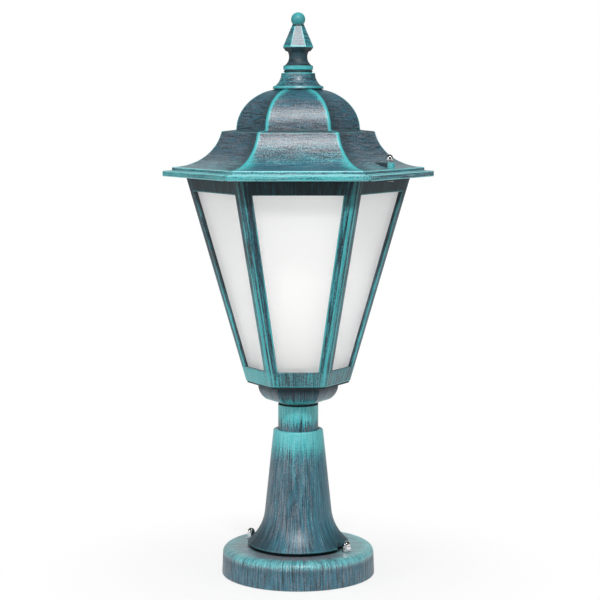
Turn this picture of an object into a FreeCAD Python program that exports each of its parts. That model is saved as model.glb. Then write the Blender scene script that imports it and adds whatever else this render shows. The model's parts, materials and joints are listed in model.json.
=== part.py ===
import FreeCAD, Part
import math
import os
from FreeCAD import Vector

# A pedestal garden lantern: a glazed hexagonal cage under a vaulted hexagonal roof, carried by a bowl,
# a neck tube and a flared pillar on a round base. Millimetres, +Z up, origin under the middle of the base.
# The front pane faces -Y, so the hexagon's corners lie at 0, 60, 120 degrees and so on.
# A corner_r is measured to a corner of the hexagon, other widths square to its sides.

# Clearances
fit_gap = 0.3
thread_gap = 0.1
touch_gap = 0.1
hole_gap = 0.6

# Base disc
base_r = 77.2
base_draft = 0.8
base_height = 27.3
base_edge_r = 6.3
base_wall = 4.0

# Bolts and nuts that hold the base down
bolt_azimuth = -30.0
bolt_d = 5.0
bolt_flats = 8.0
bolt_head_height = 3.5
nut_height = 4.0
cap_hex_height = 5.0
cap_height = 10.0
cap_dome_d = 7.4
cap_crown = 2.0
washer_d = 10.0
washer_sheet = 1.0

# Ground bar, a strip with two raised ends for the base bolts
base_bolt_inset = 21.3
bar_width = 24.0
bar_sheet = 2.5
bar_rise = 6.0
bar_end = 10.0
bar_corner_r = 5.0
anchor_pitch = 56.0
anchor_hole_d = 6.5
cable_hole_d = 16.0

# Neck tube
tube_d = 40.4
tube_wall = 2.5
tube_showing = 26.0

# Pillar
pillar_height = 119.9
pillar_top_wall = 4.4
pillar_taper = 0.106
pillar_lip_r = 1.6
pillar_wall = 4.0
pillar_rim_r = 51.1
pillar_rim_edge = 1.4
pillar_flare_r = 48.0
pillar_foot_inset = 7.1
pillar_foot_height = 3.2
pillar_seat_depth = 35.0
pillar_seat_sheet = 6.0
pillar_seat_inset = 1.7
notch_r = 10.0

# Bowl
bowl_boss_inset = 1.2
bowl_boss_height = 4.0
bowl_spigot_depth = 12.0
bowl_spigot_wall = 4.0
bowl_height = 19.2
bowl_corner_r = 40.5
bowl_floor_inset = 7.7
bowl_round_height = 14.5
bowl_wall = 4.0
bowl_flange_inset = 0.7
bowl_flange_sheet = 2.2

# Cage: corner radius of its sharp hexagon at the bottom, and how much that grows with height
cage_corner_r = 53.7
cage_slope = 0.28925
cage_chamfer = 1.6
cage_showing = 204.7
cage_seat_depth = 4.0
cage_wall = 4.5
cage_ledge_sheet = 4.6
cage_ledge_width = 8.0
cage_lip_height = 6.0
cage_lip_sheet = 2.0
window_bottom_rail = 15.0
window_top_rail = 14.5
stile_bottom = 9.1
stile_top = 11.2
lug_half_width = 6.0

# Panes and the clips that hold them
pane_sheet = 3.0
pane_cover = 3.0
pane_top_cover = 12.0
clip_width = 22.0
clip_height = 10.0
clip_sheet = 1.5
clip_screw_d = 3.0
clip_screw_skin = 1.0
clip_screw_head_d = 5.6
clip_screw_head_height = 1.8

# Roof
eave_overhang = 18.1
eave_edge = 5.6
eave_step = 8.2
lip_edge = 3.6
flare_rise = 35.3
shelf_corner_r = 76.2
shelf_width = 12.7
shelf_rise = 1.5
crown_half_width = 13.0
roof_wall = 3.5
roof_seat_width = 5.5
roof_seat_gap = 0.5
roof_boss_half_width = 5.0
roof_boss_length = 16.0
roof_boss_rise = 6.0

# Bolts and nuts that hold the roof on
roof_bolt_outset = 3.0
roof_bolt_d = 4.0
roof_bolt_flats = 7.0
roof_bolt_head_height = 2.8
roof_cap_hex_height = 3.6
roof_cap_height = 8.0
roof_cap_dome_d = 6.5
roof_cap_crown = 1.8

# Finial
finial_rim_r = 25.4
finial_rim_draft = 0.8
finial_rim_height = 2.7
finial_pad_inset = 2.0
finial_skirt_inset = 1.6
finial_skirt_r = 16.0
finial_skirt_top_r = 16.7
finial_skirt_height = 12.7
finial_groove_r = 13.6
finial_groove_height = 1.1
finial_bead_r = 14.4
finial_bead_height = 1.0
finial_collar_r = 14.7
finial_collar_height = 4.0
finial_neck_foot_r = 13.8
finial_neck_hollow_r = 10.1
finial_neck_top_r = 10.6
finial_neck_height = 14.0
finial_spike_corner_r = 15.2
finial_spike_undercut = 4.0
finial_spike_height = 22.3
finial_spike_top_corner_r = 5.7
finial_ball_r = 7.0
finial_ball_rise = 4.8
finial_stud_d = 6.0
finial_stud_depth = 18.0
finial_nut_flats = 10.0
finial_nut_height = 5.0
finial_washer_d = 18.0
finial_washer_sheet = 1.5

# Tie rod, the hollow threaded tube that clamps base, pillar, neck, bowl and cage together
rod_d = 10.0
rod_bore_d = 7.0
rod_nut_flats = 14.0
rod_nut_height = 3.0
rod_washer_d = 30.0
rod_washer_sheet = 2.0
rod_tail = 1.0
rod_tip = 8.0
strap_width = 20.0
strap_sheet = 2.5

# Lampholder and bulb
holder_wall = 5.4
holder_floor = 10.0
shell_r = 14.3
shell_sheet = 0.5
shell_inset = 3.0
contact_r = 6.0
contact_sheet = 1.5
bulb_length = 105.0
bulb_r = 30.0
bulb_cap_length = 27.0
bulb_tip_r = 4.5
bulb_tip_height = 4.0
bulb_neck_r = 15.0
bulb_neck_height = 5.0
bulb_shoulder_angle = 35.0
bulb_shoulder_r = 60.0

# Wiring in the hollow base, set out from the rod towards the terminal block
wiring_azimuth = 60.0
wire_d = 2.0
wire_bend_r = 7.0
wire_entry = 1.0
block_clear = 2.4
block_length = 16.0
block_width = 24.0
block_under = 3.0
block_pitch = 7.0
block_screw_d = 3.0
block_screw_head_d = 5.5
block_screw_head_height = 2.0
block_screw_bite = 3.0
earth_screw_d = 4.0
earth_screw_bite = 8.0
earth_screw_head_d = 7.5
earth_screw_head_height = 2.5
earth_boss_r = 4.5

COS30 = math.cos(math.radians(30))
TAN30 = math.tan(math.radians(30))
CORNERS = [60 * i for i in range(6)]
FACES = [-90 + 60 * i for i in range(6)]
AXIS = Vector(0, 0, 0)
UP = Vector(0, 0, 1)

# Heights, from the ground up
z_base_ceiling = base_height - base_wall
z_rod_foot = z_base_ceiling - rod_washer_sheet - rod_nut_height - rod_tail
z_wires = z_rod_foot - wire_bend_r
z_pillar_top = base_height + pillar_height
z_tube_foot = z_pillar_top - pillar_seat_depth
z_tube_top = z_pillar_top + tube_showing
z_bowl_floor = z_tube_top + bowl_boss_height
z_cage_floor = z_bowl_floor + bowl_height
z_ledge = z_cage_floor + cage_ledge_sheet
z_strap_top = z_ledge + strap_sheet
z_holder = z_strap_top + rod_nut_height
z_socket = z_holder + holder_floor
z_bulb = z_socket + contact_sheet + touch_gap
z_window_bottom = z_cage_floor + window_bottom_rail
z_eave = z_cage_floor + cage_showing
z_window_top = z_eave - window_top_rail
z_pane_top = z_window_top + pane_top_cover
z_cage_top = z_eave + cage_seat_depth
z_lip = z_eave + eave_edge
z_flare = z_lip + lip_edge
z_boss = z_flare + roof_boss_rise
z_shelf = z_flare + flare_rise
z_dome = z_shelf + shelf_rise


def apothem(corner_r):
    return corner_r * COS30


def cage_apothem(z):
    return apothem(cage_corner_r + cage_slope * (z - z_cage_floor))


# Widths and radii that one piece takes from another
base_bolt_r = base_r - base_bolt_inset
bore_r = tube_d / 2 + fit_gap
pillar_top_r = bore_r + pillar_top_wall
pillar_foot_r = pillar_rim_r - pillar_foot_inset
pane_inset = cage_wall + touch_gap
pane_back = pane_inset + pane_sheet
lip_inset = pane_back + fit_gap
lip_back = lip_inset + cage_lip_sheet
roof_seat_a = cage_apothem(z_cage_top)
roof_bolt_r = roof_seat_a + roof_bolt_outset
eave_a = roof_seat_a + eave_overhang
flare_a = eave_a - eave_step
shelf_a = apothem(shelf_corner_r)
dome_a = shelf_a - shelf_width
dome_r = dome_a - crown_half_width
flare_r = ((flare_a - shelf_a) ** 2 + flare_rise ** 2) / (2 * flare_rise)
z_roof_top = z_dome + dome_r
socket_r = shell_r + fit_gap
earth_screw_along = rod_washer_d / 2 + earth_boss_r + hole_gap
earth_screw_across = block_pitch + (wire_d + earth_screw_d) / 2 + touch_gap
block_along = earth_screw_along + earth_boss_r + block_clear


class Outline:
    """A closed flat outline in the XZ plane, drawn with the material on the left of the way along it."""

    def __init__(self, x, z):
        self.points = [Vector(x, 0, z)]
        self.middles = []

    def line(self, x, z):
        self.middles.append(None)
        self.points.append(Vector(x, 0, z))
        return self

    def bow(self, x, z, radius, side):
        start, end = self.points[-1], Vector(x, 0, z)
        chord = end - start
        rise = radius - math.sqrt(radius ** 2 - chord.Length ** 2 / 4)
        across = Vector(chord.z, 0, -chord.x).normalize()
        self.middles.append((start + end) / 2 + across * rise * side)
        self.points.append(end)
        return self

    def round(self, x, z, radius):
        return self.bow(x, z, radius, 1)

    def hollow(self, x, z, radius):
        return self.bow(x, z, radius, -1)

    def edges(self):
        made = []
        for start, middle, end in zip(self.points, self.middles, self.points[1:]):
            curve = Part.Arc(start, middle, end) if middle else Part.LineSegment(start, end)
            made.append(curve.toShape())
        return made

    def turned(self):
        """The solid of this outline turned about the Z axis."""
        closing = Part.LineSegment(self.points[-1], self.points[0]).toShape()
        face = Part.Face(Part.Wire(self.edges() + [closing]))
        return face.revolve(AXIS, UP, 360)

    def hexagonal(self):
        """The solid whose six sides follow this outline, given from the axis out and back to the axis."""
        right = self.edges()
        left = [edge.mirror(AXIS, Vector(1, 0, 0)) for edge in reversed(right)]
        face = Part.Face(Part.Wire(Part.__sortEdges__(right + left)))
        reach = 2 * max(point.x for point in self.points)
        slab = face.extrude(Vector(0, 2 * reach, 0)).translated(Vector(0, -reach, 0))
        solid = slab.rotated(AXIS, UP, 30)
        for turn in (90, 150):
            solid = solid.common(slab.rotated(AXIS, UP, turn))
        return solid.removeSplitter()


def hexagon(corner_r, z, turn=0):
    spots = [math.radians(angle + turn) for angle in CORNERS]
    corners = [Vector(corner_r * math.cos(spot), corner_r * math.sin(spot), z) for spot in spots]
    return Part.makePolygon(corners + corners[:1])


def hex_frustum(low_r, low_z, high_r, high_z, turn=0):
    return Part.makeLoft([hexagon(low_r, low_z, turn), hexagon(high_r, high_z, turn)], True, True)


def hex_prism(corner_r, low_z, high_z):
    return Part.Face(hexagon(corner_r, low_z)).extrude(Vector(0, 0, high_z - low_z))


def rod(radius, low_z, high_z, x=0):
    return Part.makeCylinder(radius, high_z - low_z, Vector(x, 0, low_z))


def ring(outer_r, inner_r, low_z, high_z):
    return rod(outer_r, low_z, high_z).cut(rod(inner_r, low_z, high_z))


def tongue(inner_x, end_x, half_width, low_z, high_z):
    """An upright plate along +X with a round outer end."""
    corner = Vector(inner_x, -half_width, low_z)
    bar = Part.makeBox(end_x - inner_x, 2 * half_width, high_z - low_z, corner)
    return bar.fuse(rod(half_width, low_z, high_z, end_x)).removeSplitter()


def moved(shape, x, z):
    return shape.translated(Vector(x, 0, z))


def turned_about(shape, azimuth):
    return shape.rotated(AXIS, UP, azimuth)


def at_bolts(shape):
    """Two copies of a shape drawn on the +X side, at the two bolt places."""
    return [turned_about(shape, bolt_azimuth), turned_about(shape, bolt_azimuth + 180)]


def at_corners(shape):
    return [turned_about(shape, angle) for angle in CORNERS]


def cut_all(solid, cutters):
    for cutter in cutters:
        solid = solid.cut(cutter)
    return solid


# Fasteners, drawn upright at the origin

def hex_bolt(thread_d, flats, head_height, length):
    head = hex_prism(flats / 2 / COS30, -head_height, 0)
    return head.fuse(rod(thread_d / 2, 0, length)).removeSplitter()


def hex_nut(thread_d, flats, height):
    return hex_prism(flats / 2 / COS30, 0, height).cut(rod(thread_d / 2 + thread_gap, 0, height))


def cap_nut(thread_d, flats, hex_height, dome_d, height, crown):
    dome_r = dome_d / 2
    dome = Outline(0, 0).line(dome_r, 0).line(dome_r, height - dome_r).round(0, height, dome_r)
    body = hex_prism(flats / 2 / COS30, 0, hex_height).fuse(dome.turned()).removeSplitter()
    return body.cut(rod(thread_d / 2 + thread_gap, 0, height - crown))


def pan_screw(thread_d, length, head_d, head_height):
    """Shank from the origin up, head below it."""
    return rod(head_d / 2, -head_height, 0).fuse(rod(thread_d / 2, 0, length)).removeSplitter()


def washer(outer_d, hole_d, sheet):
    return ring(outer_d / 2, hole_d / 2, 0, sheet)


# Base

def base_disc():
    top_r = base_r - base_draft
    hole_r = (rod_d + hole_gap) / 2
    shape = Outline(base_r - base_wall, 0).line(base_r, 0)
    shape.line(top_r, base_height - base_edge_r).round(top_r - base_edge_r, base_height, base_edge_r)
    shape.line(hole_r, base_height).line(hole_r, z_base_ceiling).line(top_r - base_wall, z_base_ceiling)
    solid = shape.turned().fuse(earth_boss()).removeSplitter()
    solid = cut_all(solid, at_bolts(rod((bolt_d + hole_gap) / 2, 0, base_height, base_bolt_r)))
    block_hole = rod(block_screw_d / 2 + thread_gap, z_base_ceiling, z_base_ceiling + block_screw_bite)
    return solid.cut(wired(block_hole, block_screw_spot()))


def ground_bar():
    tip = base_bolt_r + bar_end
    bend = base_bolt_r - bar_end
    flat = bend - bar_rise
    side = [(flat, 0), (bend, bar_rise), (tip, bar_rise), (tip, bar_rise + bar_sheet)]
    side += [(bend, bar_rise + bar_sheet), (flat, bar_sheet)]
    path = side + [(-x, z) for x, z in reversed(side)]
    corners = [Vector(x, -bar_width / 2, z) for x, z in path]
    strip = Part.Face(Part.makePolygon(corners + corners[:1])).extrude(Vector(0, bar_width, 0))
    tips = [edge for edge in strip.Edges if edge.BoundBox.XMin > bend or edge.BoundBox.XMax < -bend]
    strip = strip.makeFillet(bar_corner_r, [edge for edge in tips if edge.BoundBox.ZLength > bar_sheet / 2])
    holes = [rod(cable_hole_d / 2, 0, bar_sheet)]
    for way in (-1, 1):
        holes.append(rod(anchor_hole_d / 2, 0, bar_sheet, way * anchor_pitch / 2))
        holes.append(rod(bolt_d / 2 + thread_gap, bar_rise, bar_rise + bar_sheet, way * base_bolt_r))
    return turned_about(cut_all(strip, holes), bolt_azimuth)


def base_bolts():
    length = base_height + washer_sheet + cap_height - cap_crown - fit_gap - bar_rise
    return at_bolts(moved(hex_bolt(bolt_d, bolt_flats, bolt_head_height, length), base_bolt_r, bar_rise))


def base_locknuts():
    return at_bolts(moved(hex_nut(bolt_d, bolt_flats, nut_height), base_bolt_r, bar_rise + bar_sheet))


def base_washers():
    return at_bolts(moved(washer(washer_d, bolt_d + hole_gap, washer_sheet), base_bolt_r, base_height))


def base_cap_nuts():
    nut = cap_nut(bolt_d, bolt_flats, cap_hex_height, cap_dome_d, cap_height, cap_crown)
    return at_bolts(moved(nut, base_bolt_r, base_height + washer_sheet))


# Pillar and neck

def pillar_cone_r(z):
    return pillar_top_r + pillar_taper * (z_pillar_top - z)


def pillar():
    lean = math.atan(pillar_taper)
    z_rim = base_height + pillar_foot_height
    z_edge = z_rim + pillar_rim_edge
    spread = (pillar_rim_r - pillar_cone_r(z_edge)) * math.cos(lean)
    run = math.sqrt(pillar_flare_r ** 2 - (pillar_flare_r - spread) ** 2)
    z_tangent = z_edge - spread * math.sin(lean) + run * math.cos(lean)
    z_round = z_pillar_top - pillar_lip_r
    z_under = z_tube_foot - pillar_seat_sheet
    seat_r = tube_d / 2 - tube_wall - pillar_seat_inset
    shape = Outline(pillar_cone_r(base_height) - pillar_wall, base_height).line(pillar_foot_r, base_height)
    shape.line(pillar_foot_r, z_rim).line(pillar_rim_r, z_rim).line(pillar_rim_r, z_edge)
    shape.hollow(pillar_cone_r(z_tangent), z_tangent, pillar_flare_r).line(pillar_cone_r(z_round), z_round)
    shape.round(pillar_cone_r(z_round) - pillar_lip_r, z_pillar_top, pillar_lip_r)
    shape.line(bore_r, z_pillar_top).line(bore_r, z_tube_foot).line(seat_r, z_tube_foot)
    shape.line(seat_r, z_under).line(pillar_cone_r(z_under) - pillar_wall, z_under)
    return cut_all(shape.turned(), at_bolts(rod(notch_r, base_height, z_tangent, base_bolt_r)))


def neck_tube():
    return ring(tube_d / 2, tube_d / 2 - tube_wall, z_tube_foot, z_tube_top)


# Bowl

def bowl_cup(inset):
    """Half outline of the cup up to the end of its rounding, inset from the outer faces."""
    side_a = apothem(bowl_corner_r)
    round_r = (bowl_floor_inset ** 2 + bowl_round_height ** 2) / (2 * bowl_floor_inset)
    inner_r = round_r - inset
    floor_a = side_a - round_r + math.sqrt(inner_r ** 2 - (bowl_round_height - inset) ** 2)
    shape = Outline(0, z_bowl_floor + inset).line(floor_a, z_bowl_floor + inset)
    return shape.round(side_a - inset, z_bowl_floor + bowl_round_height, inner_r)


def bowl():
    z_flange = z_cage_floor - bowl_flange_sheet
    side_a = apothem(bowl_corner_r)
    flange_a = apothem(cage_corner_r - cage_chamfer - bowl_flange_inset)
    outer = bowl_cup(0).line(side_a, z_flange).line(flange_a, z_flange)
    outer.line(flange_a, z_cage_floor).line(0, z_cage_floor)
    inner = bowl_cup(bowl_wall).line(side_a - bowl_wall, z_cage_floor).line(0, z_cage_floor)
    spigot_r = tube_d / 2 - tube_wall - fit_gap
    hollow_r = spigot_r - bowl_spigot_wall
    spigot = ring(spigot_r, hollow_r, z_tube_top - bowl_spigot_depth, z_tube_top)
    boss = ring(tube_d / 2 - bowl_boss_inset, hollow_r, z_tube_top, z_bowl_floor)
    solid = outer.hexagonal().cut(inner.hexagonal()).fuse([boss, spigot]).removeSplitter()
    return solid.cut(rod((rod_d + hole_gap) / 2, z_bowl_floor, z_bowl_floor + bowl_wall))


# Cage

def cage_hex(inset, low_z, high_z):
    """Six-sided solid that follows the cage's outer faces, inset towards the axis."""
    low_r, high_r = [(cage_apothem(z) - inset) / COS30 for z in (low_z, high_z)]
    return hex_frustum(low_r, low_z, high_r, high_z)


def cage_chamfers():
    """Six-sided solid whose sides cut the cage's corners."""
    low_r, high_r = [(cage_apothem(z) / COS30 - cage_chamfer) / COS30 for z in (z_cage_floor, z_cage_top)]
    return hex_frustum(low_r, z_cage_floor, high_r, z_cage_top, 30)


def facing(low_half, low_z, high_half, high_z, azimuth):
    """A slab with straight sloping edges that runs from the axis out through one face of the cage."""
    outline = [(-low_half, low_z), (low_half, low_z), (high_half, high_z), (-high_half, high_z)]
    corners = [Vector(0, across, z) for across, z in outline]
    slab = Part.Face(Part.makePolygon(corners + corners[:1])).extrude(Vector(eave_a, 0, 0))
    return turned_about(slab, azimuth)


def window_half(z):
    low = cage_apothem(z_window_bottom) * TAN30 - stile_bottom
    high = cage_apothem(z_window_top) * TAN30 - stile_top
    return low + (high - low) * (z - z_window_bottom) / (z_window_top - z_window_bottom)


def cage():
    solid = cage_hex(0, z_cage_floor, z_cage_top).common(cage_chamfers())
    solid = solid.cut(cage_hex(cage_wall, z_ledge, z_cage_top))
    opening_a = cage_apothem(z_ledge) - lip_back - cage_ledge_width
    solid = solid.cut(hex_prism(opening_a / COS30, z_cage_floor, z_ledge))
    z_lip_top = z_ledge + cage_lip_height
    lip = cage_hex(lip_inset, z_ledge, z_lip_top).cut(cage_hex(lip_back, z_ledge, z_lip_top))
    lug_start = cage_apothem(z_eave) - cage_wall / 2
    lug = tongue(lug_start, roof_bolt_r, lug_half_width, z_eave, z_cage_top)
    solid = solid.fuse([lip] + at_bolts(lug)).removeSplitter()
    low_half, high_half = window_half(z_window_bottom), window_half(z_window_top)
    windows = [facing(low_half, z_window_bottom, high_half, z_window_top, azimuth) for azimuth in FACES]
    bolt_holes = at_bolts(rod((roof_bolt_d + hole_gap) / 2, z_eave, z_cage_top, roof_bolt_r))
    return cut_all(solid, windows + bolt_holes + at_corners(clip_screw_hole()))


# Panes and clips

def glass_pane(azimuth):
    sheet = cage_hex(pane_inset, z_ledge, z_pane_top).cut(cage_hex(pane_back, z_ledge, z_pane_top))
    low_half, high_half = window_half(z_ledge) + pane_cover, window_half(z_pane_top) + pane_cover
    return sheet.common(facing(low_half, z_ledge, high_half, z_pane_top, azimuth))


def at_clip(shape):
    """Places a shape at the clip of the corner on +X. There its +Z leaves through the stile, square to it,
    and its origin is on the edge where the inner faces of two panes would meet."""
    z_clip = z_window_top + pane_top_cover / 2
    edge_r = (cage_apothem(z_clip) - pane_back) / COS30
    lean = math.degrees(math.atan(cage_slope))
    return moved(shape.rotated(AXIS, Vector(0, 1, 0), 90 + lean), edge_r, z_clip)


def clip_depth():
    """How far the clip lies inside that edge when its ends touch the two panes."""
    lean = math.atan(cage_slope * COS30)
    between_normals = math.acos(math.cos(lean) ** 2 / 2 + math.sin(lean) ** 2)
    return clip_width / 2 * math.tan(between_normals / 2) + touch_gap


def clip_screw_reach():
    """How far the screw goes past that edge, to end a skin short of the stile's outside."""
    outside = pane_back / COS30 - cage_chamfer
    return outside * math.cos(math.atan(cage_slope)) - clip_screw_skin


def clip_screw_hole():
    return at_clip(rod(clip_screw_d / 2 + thread_gap, 0, clip_screw_reach() + touch_gap))


def pane_clips():
    low = -clip_depth() - clip_sheet
    plate = Part.makeBox(clip_height, clip_width, clip_sheet, Vector(-clip_height / 2, -clip_width / 2, low))
    return at_corners(at_clip(plate.cut(rod(clip_screw_d / 2 + touch_gap, low, low + clip_sheet))))


def clip_screws():
    low = -clip_depth() - clip_sheet
    screw = pan_screw(clip_screw_d, clip_screw_reach() - low, clip_screw_head_d, clip_screw_head_height)
    return at_corners(at_clip(moved(screw, 0, low)))


# Roof

def roof_outer():
    shape = Outline(0, z_eave).line(eave_a, z_eave).line(eave_a, z_lip)
    shape.line(flare_a, z_lip).line(flare_a, z_flare).hollow(shelf_a, z_shelf, flare_r)
    shape.line(dome_a, z_dome).round(crown_half_width, z_roof_top, dome_r).line(0, z_roof_top)
    return shape.hexagonal()


def roof_inner():
    hollow_a = roof_seat_a - roof_seat_width
    pocket_a = roof_seat_a + roof_seat_gap
    back_r = flare_r + roof_wall
    z_centre = z_flare + flare_r
    z_ceiling = z_shelf - roof_wall
    z_foot = z_centre - math.sqrt(back_r ** 2 - (flare_a - hollow_a) ** 2)
    ceiling_a = flare_a - math.sqrt(back_r ** 2 - (z_centre - z_ceiling) ** 2)
    shape = Outline(0, z_eave).line(pocket_a, z_eave).line(pocket_a, z_cage_top)
    shape.line(hollow_a, z_cage_top).line(hollow_a, z_foot).hollow(ceiling_a, z_ceiling, back_r)
    shape.line(dome_a - roof_wall, z_ceiling).line(dome_a - roof_wall, z_dome)
    shape.round(crown_half_width, z_roof_top - roof_wall, dome_r - roof_wall)
    return shape.line(0, z_roof_top - roof_wall).hexagonal()


def roof():
    boss_start = roof_bolt_r - roof_boss_length
    boss = tongue(boss_start, roof_bolt_r, roof_boss_half_width, z_cage_top, z_boss)
    pad = rod(finial_rim_r - finial_pad_inset, z_roof_top - roof_wall, z_roof_top)
    solid = roof_outer().fuse([pad] + at_bolts(boss)).removeSplitter().cut(roof_inner())
    pocket_half = lug_half_width + roof_seat_gap
    pocket = tongue(roof_seat_a - roof_seat_width, roof_bolt_r, pocket_half, z_eave, z_cage_top)
    hole = rod((roof_bolt_d + hole_gap) / 2, z_eave, z_boss, roof_bolt_r)
    stud_hole = rod((finial_stud_d + hole_gap) / 2, z_roof_top - roof_wall, z_roof_top)
    return cut_all(solid, at_bolts(pocket) + at_bolts(hole) + [stud_hole])


def roof_bolts():
    length = z_boss + roof_cap_height - roof_cap_crown - fit_gap - z_eave
    bolt = hex_bolt(roof_bolt_d, roof_bolt_flats, roof_bolt_head_height, length)
    flat_to_cage = turned_about(bolt, 30)
    return at_bolts(moved(flat_to_cage, roof_bolt_r, z_eave))


def roof_cap_nuts():
    nut = cap_nut(roof_bolt_d, roof_bolt_flats, roof_cap_hex_height, roof_cap_dome_d, roof_cap_height,
                  roof_cap_crown)
    return at_bolts(moved(nut, roof_bolt_r, z_boss))


# Finial

def finial():
    z_rim = z_roof_top + finial_rim_height
    z_skirt = z_rim + finial_skirt_height
    z_bead = z_skirt + finial_groove_height
    z_bead_top = z_bead + finial_bead_height
    z_collar = z_bead_top + finial_groove_height
    z_neck = z_collar + finial_collar_height
    z_under = z_neck + finial_neck_height
    z_spike = z_under + finial_spike_undercut
    z_point = z_spike + finial_spike_height
    rim_top_r = finial_rim_r - finial_rim_draft
    shape = Outline(0, z_roof_top).line(finial_rim_r, z_roof_top).line(rim_top_r, z_rim)
    shape.line(rim_top_r - finial_skirt_inset, z_rim).hollow(finial_skirt_top_r, z_skirt, finial_skirt_r)
    shape.line(finial_groove_r, z_skirt).line(finial_groove_r, z_bead).line(finial_bead_r, z_bead)
    shape.line(finial_bead_r, z_bead_top).line(finial_groove_r, z_bead_top)
    shape.line(finial_groove_r, z_collar).line(finial_collar_r, z_collar).line(finial_collar_r, z_neck)
    shape.line(finial_neck_foot_r, z_neck).hollow(finial_neck_top_r, z_under, finial_neck_hollow_r)
    shape.line(0, z_under)
    under = hex_frustum(finial_neck_top_r / COS30, z_under, finial_spike_corner_r, z_spike)
    spike = hex_frustum(finial_spike_corner_r, z_spike, finial_spike_top_corner_r, z_point)
    ball = Part.makeSphere(finial_ball_r, Vector(0, 0, z_point + finial_ball_rise))
    solid = shape.turned().fuse([under, spike, ball]).removeSplitter()
    return solid.cut(rod(finial_stud_d / 2 + thread_gap, z_roof_top, z_roof_top + finial_stud_depth))


z_stud_washer = z_roof_top - roof_wall - finial_washer_sheet
z_stud_nut = z_stud_washer - finial_nut_height


def finial_stud():
    return rod(finial_stud_d / 2, z_stud_nut - fit_gap, z_roof_top + finial_stud_depth - fit_gap)


def finial_washer():
    return moved(washer(finial_washer_d, finial_stud_d + hole_gap, finial_washer_sheet), 0, z_stud_washer)


def finial_nut():
    return moved(hex_nut(finial_stud_d, finial_nut_flats, finial_nut_height), 0, z_stud_nut)


# Tie rod and what it clamps

def tie_rod():
    return ring(rod_d / 2, rod_bore_d / 2, z_rod_foot, z_holder + rod_tip)


def rod_washer():
    return moved(washer(rod_washer_d, rod_d + hole_gap, rod_washer_sheet), 0, z_base_ceiling - rod_washer_sheet)


def rod_nut(z):
    return moved(hex_nut(rod_d, rod_nut_flats, rod_nut_height), 0, z)


def cage_strap():
    reach = cage_apothem(z_ledge) - lip_back - fit_gap
    plate = Part.makeBox(strap_width, 2 * reach, strap_sheet, Vector(-strap_width / 2, -reach, z_ledge))
    return plate.cut(rod((rod_d + hole_gap) / 2, z_ledge, z_strap_top))


# Lampholder and bulb

def lampholder_body():
    z_top = z_bulb + bulb_cap_length - fit_gap
    body = rod(socket_r + holder_wall, z_holder, z_top)
    rod_hole = rod(rod_d / 2 + thread_gap, z_holder, z_holder + rod_tip)
    return cut_all(body, [rod(socket_r, z_socket, z_top), rod_hole, rod(rod_bore_d / 2, z_holder, z_socket)])


def lampholder_shell():
    return ring(shell_r, shell_r - shell_sheet, z_socket, z_bulb + bulb_cap_length - shell_inset)


def lampholder_contact():
    return rod(contact_r, z_socket, z_socket + contact_sheet)


def bulb():
    cap_r = shell_r - shell_sheet - fit_gap
    z_cap = z_bulb + bulb_cap_length
    z_globe = z_bulb + bulb_length - bulb_r
    angle = math.radians(bulb_shoulder_angle)
    shape = Outline(0, z_bulb).line(bulb_tip_r, z_bulb).line(cap_r, z_bulb + bulb_tip_height)
    shape.line(cap_r, z_cap).line(bulb_neck_r, z_cap + bulb_neck_height)
    shape.hollow(bulb_r * math.cos(angle), z_globe - bulb_r * math.sin(angle), bulb_shoulder_r)
    return shape.round(bulb_r, z_globe, bulb_r).round(0, z_globe + bulb_r, bulb_r).turned()


# Wiring in the base

def wired(shape, spot=AXIS):
    """Moves a shape drawn with the terminal block on +X to its spot, then turns it to the block's side."""
    return turned_about(shape.translated(spot), wiring_azimuth)


def block_screw_spot():
    return Vector(block_along + block_length / 2, block_pitch / 2, 0)


def block_foot():
    return z_wires - block_under


def terminal_block():
    body = Part.makeBox(block_length, block_width, z_base_ceiling - block_foot(),
                        Vector(block_along, -block_width / 2, block_foot()))
    for pole in (-1, 0, 1):
        start = Vector(block_along, pole * block_pitch, z_wires)
        body = body.cut(Part.makeCylinder(wire_d / 2 + fit_gap, block_length, start, Vector(1, 0, 0)))
    hole = rod(block_screw_d / 2 + thread_gap, block_foot(), z_base_ceiling)
    return wired(body.cut(hole.translated(block_screw_spot())))


def terminal_screw():
    length = z_base_ceiling - block_foot() + block_screw_bite - touch_gap
    screw = pan_screw(block_screw_d, length, block_screw_head_d, block_screw_head_height)
    return wired(moved(screw, 0, block_foot()), block_screw_spot())


def wire(pole, way):
    """From a pole of the block, round the foot of the rod and up its bore to the lampholder."""
    foot = Vector(0, way * (rod_bore_d / 2 - wire_d / 2 - fit_gap), z_wires)
    end = Vector(block_along + wire_entry, pole * block_pitch, z_wires)
    heading = (end - foot).normalize()
    bend_start = foot + heading * wire_bend_r
    bend_middle = foot + (heading + UP) * wire_bend_r * (1 - math.sqrt(0.5))
    bend_end = foot + UP * wire_bend_r
    top = Vector(foot.x, foot.y, z_socket - touch_gap)
    path = Part.Wire([Part.LineSegment(end, bend_start).toShape(),
                      Part.Arc(bend_start, bend_middle, bend_end).toShape(),
                      Part.LineSegment(bend_end, top).toShape()])
    section = Part.Wire(Part.makeCircle(wire_d / 2, end, heading))
    return wired(path.makePipeShell([section], True, False))


def earth_boss():
    foot = z_wires + wire_d / 2
    hole = rod(earth_screw_d / 2 + thread_gap, foot, foot + earth_screw_bite + touch_gap)
    boss = rod(earth_boss_r, foot, z_base_ceiling).cut(hole)
    return wired(boss, Vector(earth_screw_along, earth_screw_across, 0))


def earth_screw():
    screw = pan_screw(earth_screw_d, earth_screw_bite + wire_d, earth_screw_head_d, earth_screw_head_height)
    return wired(screw, Vector(earth_screw_along, earth_screw_across, z_wires - wire_d / 2))


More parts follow.
